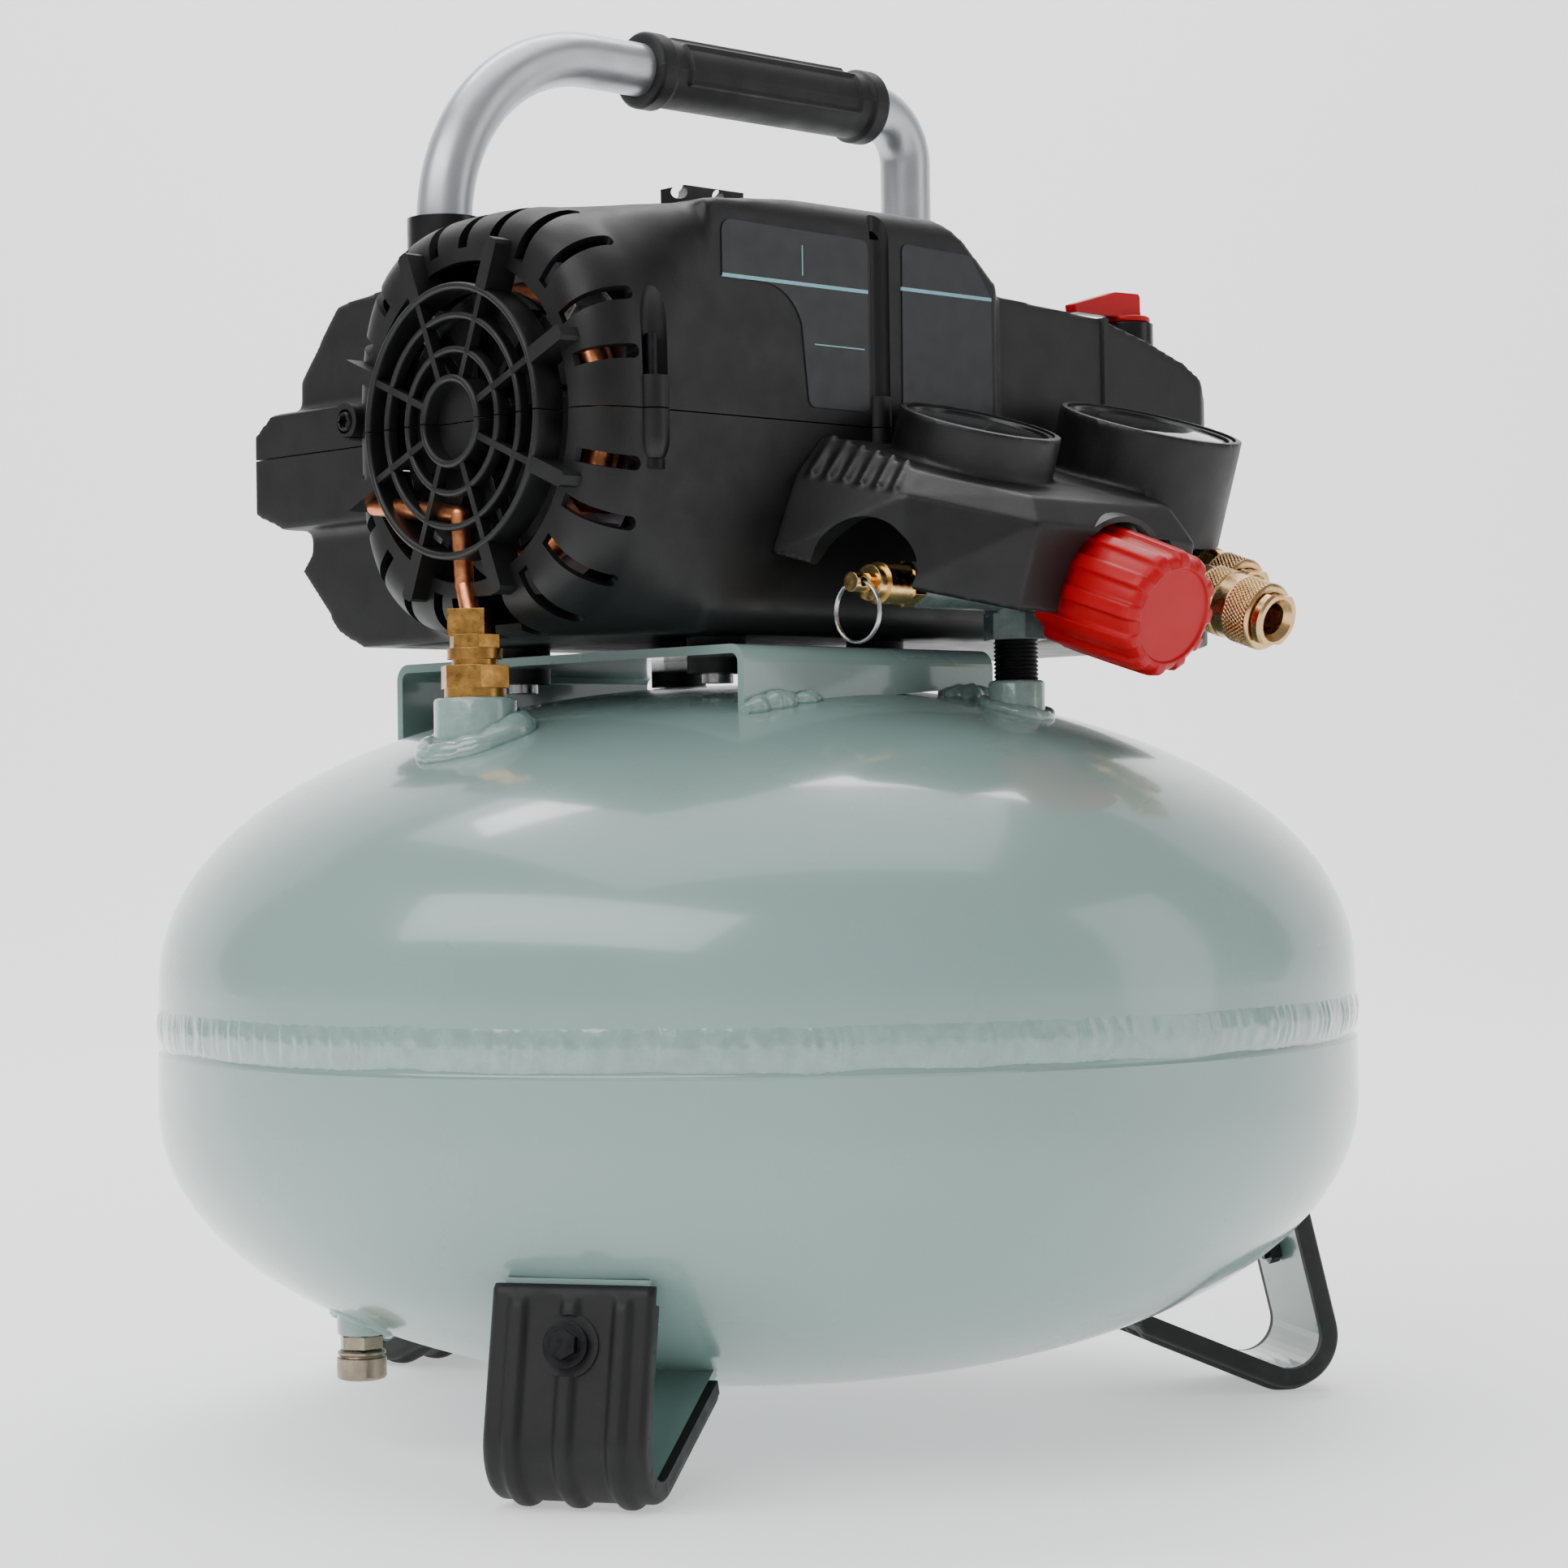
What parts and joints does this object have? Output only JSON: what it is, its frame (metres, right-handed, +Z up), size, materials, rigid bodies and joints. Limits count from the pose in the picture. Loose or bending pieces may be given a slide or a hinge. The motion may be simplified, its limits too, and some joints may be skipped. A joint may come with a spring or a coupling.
{
  "type": "pancake air compressor",
  "caption": "Portable pancake air compressor: low round tank on rubber feet, shrouded direct-drive piston pump, tilted gauge console with regulator and couplers, carry handle.",
  "frame": {"origin": "on the floor under the tank's axis, at the centre of the weld bead's box", "axes": "+Z up; the motor shaft lies along X with the fan end facing -X; gauges, regulator and couplers face -Y; the handle stands over the +Y side"},
  "size_m": [0.4157, 0.4158, 0.494],
  "materials": {
    "paint": "gloss sage green paint over steel",
    "rubber": "moulded black rubber",
    "black_steel": "black coated steel",
    "steel": "bright zinc",
    "laminations": "stacked laminations",
    "copper": "bare copper",
    "cast_alu": "die cast",
    "brass": "machined brass",
    "manifold_paint": "grey green cast metal",
    "black_plastic": "fine moulded grain",
    "smooth_plastic": "smooth moulded",
    "red_plastic": "satin moulded",
    "silver_tube": "metallic silver coating",
    "dial": "printed dial",
    "lens": "clear",
    "seal": "seal ring"
  },
  "bodies": {
    "chassis": {"tank_upper_shell": "paint", "tank_lower_shell": "paint", "girth_weld": "paint", "tank_bosses": "paint", "foot_straps": "paint", "foot_rubbers": "rubber", "foot_bolts": "black_steel", "motor_bracket": "paint", "rubber_mounts": "rubber", "mount_screws": "steel", "motor_base": "black_steel", "motor_stator": "laminations", "stator_windings": "copper", "front_bracket": "cast_alu", "motor_bearings": "steel", "tie_bolts": "steel", "crankcase": "cast_alu", "crankcase_cover": "cast_alu", "cylinder_sleeve": "cast_alu", "valve_plate": "steel", "reed_valves": "steel", "cylinder_head": "cast_alu", "head_bolts": "steel", "intake_filter": "smooth_plastic", "discharge_tube": "copper", "check_valve": "brass", "outlet_nipple": "steel", "manifold": "manifold_paint", "regulator_bonnet": "black_steel", "gauge_cases": "black_steel", "gauge_dials": "dial", "gauge_lenses": "lens", "console_cover": "black_plastic", "coupler_bodies": "brass", "relief_valve_body": "brass", "drain_valve_body": "brass", "shroud_upper": "black_plastic", "shroud_lower": "black_plastic", "shroud_screws": "black_steel", "handle_tube": "silver_tube", "handle_sockets": "smooth_plastic", "handle_grip": "rubber", "pressure_switch": "smooth_plastic", "run_capacitor": "cast_alu", "cord_gland": "smooth_plastic"},
    "rotor": {"motor_shaft": "steel", "rotor_core": "laminations", "cooling_fan": "smooth_plastic", "crank_eccentric": "steel"},
    "piston": {"piston_rod": "cast_alu", "piston_seal": "seal"},
    "regulator_knob": {"regulator_knob": "red_plastic"},
    "switch_lever": {"switch_lever": "red_plastic"},
    "coupler_sleeve_left": {"coupler_sleeve_left": "brass"},
    "coupler_sleeve_right": {"coupler_sleeve_right": "brass"},
    "gauge_needle_left": {"gauge_needle_left": "red_plastic"},
    "gauge_needle_right": {"gauge_needle_right": "red_plastic"},
    "relief_stem": {"relief_stem": "brass"},
    "pull_ring": {"pull_ring": "steel"},
    "drain_knob": {"drain_knob": "brass"}
  },
  "joints": [
    {"name": "rotor_spin", "type": "hinge", "parent": "chassis", "child": "rotor", "pos_m": [0, 0, 0.336], "axis": [1, 0, 0], "continuous": true},
    {"name": "piston_orbit", "type": "hinge", "parent": "rotor", "child": "piston", "pos_m": [-0.003, 0.007, 0.336], "axis": [1, 0, 0], "continuous": true},
    {"name": "regulator_turn", "type": "hinge", "parent": "chassis", "child": "regulator_knob", "pos_m": [0.033, -0.12355, 0.28229], "axis": [0, -0.9511, -0.309], "range_deg": [-720, 720]},
    {"name": "lever_turn", "type": "hinge", "parent": "chassis", "child": "switch_lever", "pos_m": [0.152, -0.042, 0.387], "axis": [0, 0, 1], "range_deg": [0, 90]},
    {"name": "left_sleeve_pull", "type": "slide", "parent": "chassis", "child": "coupler_sleeve_left", "axis": [0, 0.9511, 0.309], "range_m": [0, 0.005], "stiffness_N_per_m": 900, "springref_m": -0.003},
    {"name": "right_sleeve_pull", "type": "slide", "parent": "chassis", "child": "coupler_sleeve_right", "axis": [0, 0.9511, 0.309], "range_m": [0, 0.005], "stiffness_N_per_m": 900, "springref_m": -0.003},
    {"name": "left_needle_sweep", "type": "hinge", "parent": "chassis", "child": "gauge_needle_left", "pos_m": [0.0135, -0.09584, 0.32967], "axis": [0, 0.309, -0.9511], "range_deg": [0, 270], "stiffness_Nm_per_rad": 0.0002},
    {"name": "right_needle_sweep", "type": "hinge", "parent": "chassis", "child": "gauge_needle_right", "pos_m": [0.0935, -0.10118, 0.33319], "axis": [0, 0.309, -0.9511], "range_deg": [0, 270], "stiffness_Nm_per_rad": 0.0002},
    {"name": "relief_pull", "type": "slide", "parent": "chassis", "child": "relief_stem", "axis": [-1, 0, 0], "range_m": [0, 0.003], "stiffness_N_per_m": 1500, "springref_m": -0.003},
    {"name": "ring_swing", "type": "hinge", "parent": "relief_stem", "child": "pull_ring", "pos_m": [-0.047, -0.1, 0.281], "axis": [0, 1, 0], "range_deg": [-20, 110]},
    {"name": "drain_turn", "type": "hinge", "parent": "chassis", "child": "drain_knob", "pos_m": [-0.145, 0.038, 0.028], "axis": [0, 0, 1], "range_deg": [0, 270]}
  ],
  "couplings": [
    {"joint": "piston_orbit", "follows": "rotor_spin", "ratio": -1}
  ]
}
